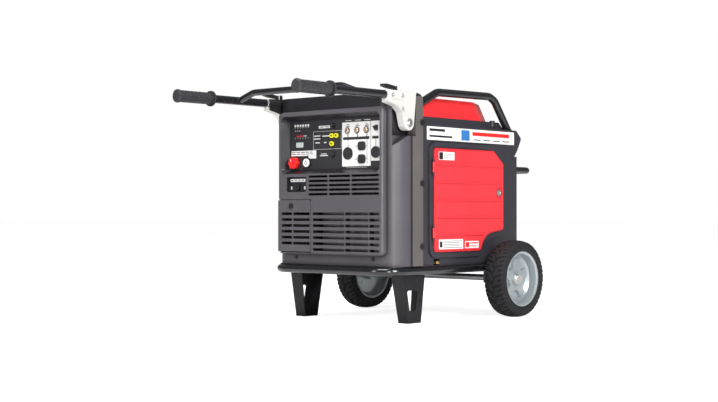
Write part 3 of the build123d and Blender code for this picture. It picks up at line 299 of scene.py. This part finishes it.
def add_painted_shade_zones(mat, dark, zones):
    """Paints shade into boxes of the part, each given by its least |x|, y and z and greatest |x|, y and z.
    """
    tree = mat.node_tree
    shader = tree.nodes["Principled BSDF"]
    place = tree.nodes.new("ShaderNodeTexCoord")
    split = tree.nodes.new("ShaderNodeSeparateXYZ")
    tree.links.new(place.outputs["Object"], split.inputs["Vector"])
    aside = tree.nodes.new("ShaderNodeMath")
    aside.operation = "ABSOLUTE"
    tree.links.new(split.outputs["X"], aside.inputs[0])
    measures = (aside.outputs["Value"], split.outputs["Y"], split.outputs["Z"])
    whole = None
    for low, high in zones:
        inside = None
        for measure, least, most in zip(measures, low, high):
            for operation, limit in (("GREATER_THAN", least), ("LESS_THAN", most)):
                test = compare(tree, measure, operation, limit)
                inside = test if inside is None else combine(tree, "MULTIPLY", inside, test)
        whole = inside if whole is None else combine(tree, "MAXIMUM", whole, inside)
    # painted shade: inside the boxes the shade colour takes the place of the part's own colour
    mix = tree.nodes.new("ShaderNodeMix")
    mix.data_type = "RGBA"
    mix.inputs["B"].default_value = [*dark, 1]
    light = shader.inputs["Base Color"].links[0].from_socket
    tree.links.new(whole, mix.inputs["Factor"])
    tree.links.new(light, mix.inputs["A"])
    tree.links.new(mix.outputs["Result"], shader.inputs["Base Color"])


# x place (metres) times x normal: below this a face looks at the middle of the machine
INWARD_LIMIT = -0.12


def add_dark_cheek(mat):
    """Inner cheek of the lifting-handle castings, made dark where its faces look towards the middle of the
    machine.
    """
    tree = mat.node_tree
    link = tree.links.new
    shader = tree.nodes["Principled BSDF"]
    place = tree.nodes.new("ShaderNodeTexCoord")
    facing = tree.nodes.new("ShaderNodeVectorMath")
    facing.operation = "MULTIPLY"
    link(place.outputs["Object"], facing.inputs[0])
    link(place.outputs["Normal"], facing.inputs[1])
    split = tree.nodes.new("ShaderNodeSeparateXYZ")
    link(facing.outputs["Vector"], split.inputs["Vector"])
    inward = tree.nodes.new("ShaderNodeMath")
    inward.operation = "LESS_THAN"
    inward.inputs[1].default_value = INWARD_LIMIT
    link(split.outputs["X"], inward.inputs[0])
    mix = tree.nodes.new("ShaderNodeMix")
    mix.data_type = "RGBA"
    light = shader.inputs["Base Color"].links[0].from_socket
    link(inward.outputs["Value"], mix.inputs["Factor"])
    link(light, mix.inputs["A"])
    mix.inputs["B"].default_value = (0.02, 0.02, 0.02, 1)
    link(mix.outputs["Result"], shader.inputs["Base Color"])


# boxes of painted shade, in metres, with x as a distance from the middle; a limit of FAR leaves that side
# open
FAR = 1.0
COVER_SHADE_COLOUR = (0.008, 0.007, 0.011)
COVER_TOP = ((-FAR, -FAR, 0.6475), (FAR, FAR, FAR))
COVER_HANDLE_POCKETS = ((0.2262, -FAR, 0.5602), (FAR, FAR, FAR))
COVER_BOARD_RECESS = ((-FAR, -0.2026, 0.4520), (0.2050, -0.1500, 0.6320))
COVER_SMALL_RECESS = ((0.0900, -0.2026, 0.3962), (0.1800, -0.1800, 0.4428))
BAND_SHADE_COLOUR = (0.010, 0.009, 0.012)
BAND_TOP = ((-FAR, -FAR, 0.6000), (0.2500, FAR, FAR))


def darken_cheeks_and_paint_shade():
    """Inner cheeks of the brackets made darker; painted shade on the top, handle pockets and recesses of
    the front moulding, and painted shade on the top of its band.
    """
    add_dark_cheek(materials["cast_silver"])
    add_painted_shade_zones(materials["cover_grey"], COVER_SHADE_COLOUR,
                   [COVER_TOP, COVER_HANDLE_POCKETS, COVER_BOARD_RECESS, COVER_SMALL_RECESS])
    add_painted_shade_zones(materials["band_black"], BAND_SHADE_COLOUR, [BAND_TOP])


def dress_nodes():
    """Gives every CAD node the finish its record names."""
    for row in frame["record"]["subparts"]:
        node = nodes[row["node"]]
        finish = materials[row["material_slot"]]
        if not node.data.materials:
            node.data.materials.append(finish)
        for index in range(len(node.material_slots)):
            node.material_slots[index].material = finish


# ---- pieces built here ---------------------------------------------------
def new_piece(name, verts, faces, body, finish, sharp=35.0):
    """Mesh object that rides on a body and takes its finish from a slot."""
    mesh = bpy.data.meshes.new(name)
    mesh.from_pydata(verts, [], faces)
    mesh.update()
    shape = bmesh.new()
    shape.from_mesh(mesh)
    bmesh.ops.recalc_face_normals(shape, faces=shape.faces)
    shape.to_mesh(mesh)
    shape.free()
    for face in mesh.polygons:
        face.use_smooth = True
    mesh.set_sharp_from_angle(angle=math.radians(sharp))
    mesh.materials.append(materials[finish])
    piece = bpy.data.objects.new(name, mesh)
    bpy.context.scene.collection.objects.link(piece)
    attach(piece, body)
    return piece


# tyre sizes, in metres
TYRE_R = 0.122
TREAD_HALF = 0.0315
TREAD_STEPS = 36
TREAD_FROM_R = 0.110
TREAD_DEPTH = 0.0034
SHOULDER_DROP = 0.0048
SHOULDER_POWER = 2.2

# tread pattern, in shares of the tread's half width and of one pitch
PITCHES = 24
STEPS = 20
GROOVE_SLOPE = 0.05
CENTRE_GROOVE_HALF = 0.045
WEAVE = 0.16
SWEEP = 0.34
SWEEP_FROM = 0.15


def tyre_section():
    """(offset, radius, is tread) points from one bead over the tread to the other."""
    wall = [
        (-0.0318, 0.0872), (-0.0330, 0.0880), (-0.0336, 0.0905), (-0.0346, 0.0915), (-0.0357, 0.0960),
        (-0.0360, 0.1010), (-0.0357, 0.1060), (-0.0351, 0.1066), (-0.0350, 0.1088), (-0.0343, 0.1120),
        (-0.0333, 0.1152),
    ]
    points = [(x, r, r > TREAD_FROM_R) for x, r in wall]
    for i in range(TREAD_STEPS + 1):
        x = TREAD_HALF * (2.0 * i / TREAD_STEPS - 1.0)
        points.append((x, TYRE_R - SHOULDER_DROP * (abs(x) / TREAD_HALF) ** SHOULDER_POWER, True))
    return points + [(-x, r, tread) for x, r, tread in reversed(points[:len(wall)])]


def cut(away, half, soft):
    """1 inside a groove, 0 outside it, with a short slope between."""
    return min(1.0, max(0.0, (half + soft - away) / soft))


def groove_depth(x, phase):
    """Depth of the tread at an offset and a place within one pitch.

    A weaving centre groove, long swept grooves to each side, and short ones at the shoulders.
    """
    across = x / TREAD_HALF
    side = abs(across)
    weave = WEAVE * (4.0 * abs(phase - 0.5) - 1.0)
    depth = cut(abs(across - weave), CENTRE_GROOVE_HALF, GROOVE_SLOPE)
    line = (0.25 if x > 0 else 0.75) + SWEEP * (side - SWEEP_FROM)
    for offset, start, half in ((0.0, 0.12, 0.060), (0.5, 0.58, 0.030)):
        away = abs((phase - line - offset + 0.5) % 1.0 - 0.5)
        if side > start:
            depth = max(depth, cut(away, half, GROOVE_SLOPE))
    return TREAD_DEPTH * depth


def make_tyre(side, label):
    """Air tyre with a chevron tread, notched shoulders and ringed side walls."""
    node = label + "_tyre"
    low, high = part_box(node)
    centre = Vector(((low[0] + high[0]) / 2, (low[1] + high[1]) / 2, (low[2] + high[2]) / 2))
    section = tyre_section()
    around = PITCHES * STEPS
    verts = []
    for i in range(around):
        angle = 2 * math.pi * i / around
        phase = (i % STEPS) / STEPS
        for x, radius, tread in section:
            if tread:
                radius = radius - groove_depth(max(-TREAD_HALF, min(TREAD_HALF, x)), phase)
            verts.append((
                centre.x + side * x,
                centre.y + radius * math.sin(angle),
                centre.z + radius * math.cos(angle),
            ))
    faces = []
    size = len(section)
    for i in range(around):
        for j in range(size):
            k = (j + 1) % size
            n = (i + 1) % around
            faces.append((i * size + j, i * size + k, n * size + k, n * size + j))
    tyre = new_piece(label + "_tyre_tread", verts, faces, label + "_wheel", "tyre_rubber")
    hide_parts(node)


# points of a quarter corner, a disc and a ring, and the height of a print's hidden side in millimetres
CORNER_STEPS = 4
DISC_STEPS = 24
RING_STEPS = 32
SINK = -0.05


def rounded_outline(a0, a1, b0, b1, radius):
    """Corner points of a rounded rectangle."""
    radius = min(radius, (a1 - a0) / 2.001, (b1 - b0) / 2.001)
    corners = [(a1 - radius, b1 - radius), (a0 + radius, b1 - radius), (a0 + radius, b0 + radius),
               (a1 - radius, b0 + radius)]
    points = []
    for quarter, (a, b) in enumerate(corners):
        for step in range(CORNER_STEPS + 1):
            angle = math.pi / 2 * (quarter + step / CORNER_STEPS)
            points.append((a + radius * math.cos(angle), b + radius * math.sin(angle)))
    return points


class Print:
    """Thin printed or stuck-on shapes of one colour, in millimetres, sunk slightly into their face."""

    def __init__(self, name, body, finish):
        self.name = name
        self.body = body
        self.finish = finish
        self.verts = []
        self.faces = []

    def shape(self, points, place, low, high):
        """Adds a flat prism between two heights over a surface."""
        start = len(self.verts)
        count = len(points)
        for height in (low, high):
            for a, b in points:
                self.verts.append(tuple(MM * value for value in place(a, b, height)))
        self.faces.append(tuple(start + i for i in range(count)))
        self.faces.append(tuple(start + count + i for i in range(count)))
        for i in range(count):
            j = (i + 1) % count
            self.faces.append((start + i, start + j, start + count + j, start + count + i))

    def front(self, y, x0, x1, z0, z1, radius=0.4, thick=0.25):
        """Rounded patch on a face looking forward."""
        self.shape(rounded_outline(x0, x1, z0, z1, radius), lambda a, b, h: (a, y - h, b), SINK, thick)

    def right(self, x, y0, y1, z0, z1, radius=0.4, thick=0.3):
        """Rounded patch on a face looking right."""
        self.shape(rounded_outline(y0, y1, z0, z1, radius), lambda a, b, h: (x + h, a, b), SINK, thick)

    def front_ring(self, y, x0, x1, z0, z1, line=0.8):
        """Thin rectangular frame on a face looking forward."""
        self.front(y, x0, x1, z0, z0 + line, 0.2)
        self.front(y, x0, x1, z1 - line, z1, 0.2)
        self.front(y, x0, x0 + line, z0, z1, 0.2)
        self.front(y, x1 - line, x1, z0, z1, 0.2)

    def front_disc(self, y, x, z, radius, thick=0.3):
        """Round patch on a face looking forward."""
        turns = [2 * math.pi * k / DISC_STEPS for k in range(DISC_STEPS)]
        points = [(x + radius * math.cos(turn), z + radius * math.sin(turn)) for turn in turns]
        self.shape(points, lambda a, b, h: (a, y - h, b), SINK, thick)

    def front_washer(self, y, x, z, inner, outer, thick=0.4):
        """Flat ring on a face looking forward."""
        start = len(self.verts)
        for radius in (inner, outer):
            for height in (SINK, thick):
                for k in range(RING_STEPS):
                    angle = 2 * math.pi * k / RING_STEPS
                    self.verts.append((
                        MM * (x + radius * math.cos(angle)),
                        MM * (y - height),
                        MM * (z + radius * math.sin(angle)),
                    ))
        for low, high in ((0, 1), (1, 3), (3, 2), (2, 0)):
            first = start + low * RING_STEPS
            second = start + high * RING_STEPS
            for k in range(RING_STEPS):
                n = (k + 1) % RING_STEPS
                self.faces.append((first + k, first + n, second + n, second + k))

    def done(self):
        """Makes the piece from the shapes added so far."""
        return new_piece(self.name, self.verts, self.faces, self.body, self.finish)


# faces that carry prints, and the step from a label to the ink on it, in millimetres
BOARD_Y = -175.0
PLATE_Y = -177.0
COLLAR_Y = -180.0
RECESS_Y = -191.0
PANEL_X = 245.0
DOOR_X = 253.5
LABEL_STEP = 0.2
STICKER_STEP = 0.25

# places on the control board as x, or as x and z, in millimetres
BREAKER_XS = (57.0, 95.5, 133.0)
ROUND_OUTLET = (57.5, 511.5)
LOCKING_OUTLET = (168.5, 512.5)
JACK_SPOTS = ((-9.5, 568.0), (9.5, 568.0), (-9.5, 543.5))
KNOB_AT = (-116.0, 487.0)
LAMP_X = 186.5


def print_board():
    """Plain markings round the controls."""
    white = Print("board_marks", "machine", "plate_white")
    for i in range(6):
        x = -170.5 + i * 11.2
        white.front(BOARD_Y, x, x + 6.8, 600.5, 607.5, 1.0)
        white.front(BOARD_Y, x + 1.0, x + 5.6, 597.0, 598.2)
    for i in range(3):
        white.front_disc(BOARD_Y, -166.0 + i * 9.0, 588.0, 1.6)
    white.front(BOARD_Y, -131.0, -117.0, 570.6, 572.4)
    for i in range(6):
        white.front_disc(BOARD_Y, -167.0 + i * 11.0, 565.0, 1.1)
    white.front_ring(BOARD_Y, -89.0, 28.0, 527.0, 583.0, 0.8)
    for x0, x1, z in ((-86, -60, 569), (-51, -21, 568), (-86, -60, 560), (-44, -34, 548), (-80, -62, 548)):
        white.front(BOARD_Y, x0, x1, z - 1.4, z + 1.4)
    white.front(BOARD_Y, -61.0, -28.0, 506.5, 509.0)
    white.front(BOARD_Y, -57.0, -33.0, 512.0, 514.0)
    for i in range(7):
        x = 49.0 + i * 12.0
        white.front(BOARD_Y, x, x + 8.5, 467.6, 469.0)
    for x in BREAKER_XS:
        white.front(BOARD_Y, x - 12.0, x + 12.0, 610.5, 612.0)
    white.front_disc(BOARD_Y, LAMP_X, 596.0, 1.4)
    white.front_disc(BOARD_Y, LAMP_X, 574.0, 1.4)
    white.done()

    pale = Print("switch_labels", "machine", "plate_white")
    pale.front(BOARD_Y, -184.0, -77.0, 509.0, 525.0, 1.5)
    pale.front(BOARD_Y, -110.0, -77.0, 500.0, 510.0, 1.5)
    pale.front(BOARD_Y, -66.0, -19.0, 592.0, 600.0, 1.2)
    pale.done()

    dark = Print("label_bars", "machine", "board_black")
    label_y = BOARD_Y - LABEL_STEP
    for x0, x1 in ((-183, -166), (-162, -148), (-143, -126), (-122, -108), (-104, -93)):
        dark.front(label_y, x0, x1, 519.2, 521.6, 0.3, 0.25)
        dark.front(label_y, x0 + 2.0, x1 + 3.0, 513.6, 515.6, 0.3, 0.25)
    dark.front_washer(label_y, *KNOB_AT, 13.6, 18.0, 1.2)
    dark.front(label_y, -62.0, -44.0, 594.8, 597.2, 0.3, 0.25)
    dark.front(label_y, -40.0, -24.0, 594.8, 597.2, 0.3, 0.25)
    for x0, x1 in ((37.0, 143.0), (154.0, 179.0)):
        dark.front(PLATE_Y, x0, x1, 552.5, 561.0, 0.8)
    for x in BREAKER_XS:
        dark.front(PLATE_Y, x - 1.3, x + 1.3, 560.0, 570.0, 0.2)
        dark.front_washer(COLLAR_Y, x, 580.5, 8.2, 10.6, 0.5)
        dark.front(PLATE_Y, x - 8.0, x + 8.0, 593.0, 595.0, 0.3)
        dark.front(PLATE_Y, x - 5.0, x + 5.0, 598.0, 599.6, 0.3)
    for x in (ROUND_OUTLET[0], LOCKING_OUTLET[0]):
        dark.front(PLATE_Y, x - 0.9, x + 0.9, 531.0, 554.0, 0.2)
    dark.front(PLATE_Y, 133.0, 134.6, 480.0, 554.0, 0.2)
    for z in (532.5, 493.5):
        dark.front(PLATE_Y, 128.5, 134.0, z - 0.8, z + 0.8, 0.2)
        dark.front(PLATE_Y, 86.0, 94.0, z - 1.0, z + 1.0, 0.2)
    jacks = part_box("parallel_jacks")[0][1] / MM
    for x, z in JACK_SPOTS:
        dark.front_disc(jacks, x, z, 3.0, 0.2)
    dark.done()

    red = Print("board_red_marks", "machine", "knob_red")
    red.front(BOARD_Y, -162.0, -133.0, 570.3, 572.7, 0.4)
    red.front(BOARD_Y, -183.0, -176.0, 463.0, 465.5, 0.4)
    red.done()

    window = Print("display_glass", "machine", "display_window")
    low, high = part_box("display")
    x0, x1 = low[0] / MM, high[0] / MM
    z0, z1 = low[2] / MM, high[2] / MM
    window.front(low[1] / MM, x0 + 1.5, x1 - 1.5, z0 + 1.5, z1 - 1.5, 1.0, 0.2)
    window.done()


def print_recess():
    """Small markings beside the small switch."""
    marks = Print("recess_marks", "machine", "plate_white")
    marks.front(RECESS_Y, -172.0, -108.0, 428.0, 437.0, 1.0)
    marks.front(RECESS_Y, -170.0, -165.0, 404.0, 414.0, 0.8)
    marks.front(RECESS_Y, -114.0, -108.0, 404.0, 414.0, 0.8)
    marks.done()
    bezel = Print("recess_bezel", "machine", "board_black")
    for x0, x1 in ((-160.0, -144.5), (-127.5, -119.0)):
        bezel.front(RECESS_Y, x0, x1, 398.5, 422.0, 1.5, 1.2)
    for i in range(4):
        x = -169.0 + i * 15.0
        bezel.front(RECESS_Y - LABEL_STEP, x, x + 10.0, 431.2, 433.8, 0.4, 0.25)
    bezel.done()


def middle(node):
    """Centre x, front y and centre z of a node, in millimetres."""
    low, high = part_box(node)
    return (low[0] + high[0]) / 2 / MM, low[1] / MM, (low[2] + high[2]) / 2 / MM


def print_buttons():
    """Ring mark on the start button, raised rims round two outlets and a mark on the knob."""
    x, y, z = middle("start_button")
    mark = Print("start_mark", "start_key", "board_black")
    mark.front_washer(y, x, z, 4.4, 5.8, 0.2)
    mark.front(y, x - 0.8, x + 0.8, z + 2.6, z + 8.0, 0.3, 0.2)
    mark.done()
    rims = Print("outlet_rims", "machine", "outlet_black")
    rims.front_washer(PLATE_Y, *ROUND_OUTLET, 16.2, 18.6, 1.2)
    rims.front_washer(PLATE_Y, *LOCKING_OUTLET, 14.8, 17.1, 1.2)
    rims.done()
    x, y, z = middle("engine_switch_knob")
    pointer = Print("knob_pointer", "knob", "plate_white")
    pointer.front(y, x - 0.9, x + 0.9, z + 5.0, z + 11.0, 0.3, 0.2)
    pointer.done()


def print_right_side():
    """Plain label strip above the door and plain stickers on it."""
    strip = Print("side_strip", "machine", "plate_white")
    strip.right(PANEL_X, -30.0, 428.0, 553.0, 594.0, 3.0)
    strip.done()
    ink_x = PANEL_X + STICKER_STEP
    dark = Print("side_strip_dark", "machine", "board_black")
    dark.right(ink_x, -18.0, 60.0, 580.0, 588.0, 1.5)
    dark.right(ink_x, -18.0, 96.0, 562.0, 568.0, 1.0)
    for i in range(4):
        dark.right(ink_x, 206.0 + i * 52.0, 244.0 + i * 52.0, 560.0, 563.0, 0.8)
    dark.done()
    red = Print("side_strip_red", "machine", "knob_red")
    red.right(ink_x, 200.0, 400.0, 574.0, 586.0, 2.0)
    red.done()
    blue = Print("side_strip_blue", "machine", "label_blue")
    blue.right(ink_x, 142.0, 185.0, 557.0, 590.0, 2.0)
    blue.done()

    pale = Print("door_stickers", "door", "plate_white")
    pale.right(DOOR_X, 18.0, 96.0, 493.0, 518.0, 1.5)
    pale.right(DOOR_X, 18.0, 140.0, 220.0, 250.0, 1.5)
    pale.right(DOOR_X, 150.0, 222.0, 221.0, 243.0, 1.5)
    pale.done()
    ink_x = DOOR_X + STICKER_STEP
    bars = Print("door_sticker_bars", "door", "board_black")
    bars.right(ink_x, 19.5, 38.0, 494.5, 516.5, 1.0)
    for i in range(3):
        bars.right(ink_x, 44.0, 90.0 - i * 12.0, 511.0 - i * 6.0, 512.6 - i * 6.0, 0.5)
    for i in range(5):
        bars.right(ink_x, 40.0, 134.0 - (i % 2) * 14.0, 244.0 - i * 5.0, 245.4 - i * 5.0, 0.4)
    bars.right(ink_x, 22.0, 35.0, 226.0, 244.0, 1.0)
    bars.done()
    red = Print("door_sticker_red", "door", "knob_red")
    red.right(ink_x, 153.0, 172.0, 224.0, 240.0, 1.5)
    red.right(ink_x, 177.0, 218.0, 235.0, 239.0, 1.0)
    red.right(ink_x, 177.0, 210.0, 226.0, 229.0, 1.0)
    red.done()


make_camera()
make_stage()
darken_cheeks_and_paint_shade()
dress_nodes()
make_tyre(1, "right")
make_tyre(-1, "left")
print_board()
print_recess()
print_buttons()
print_right_side()
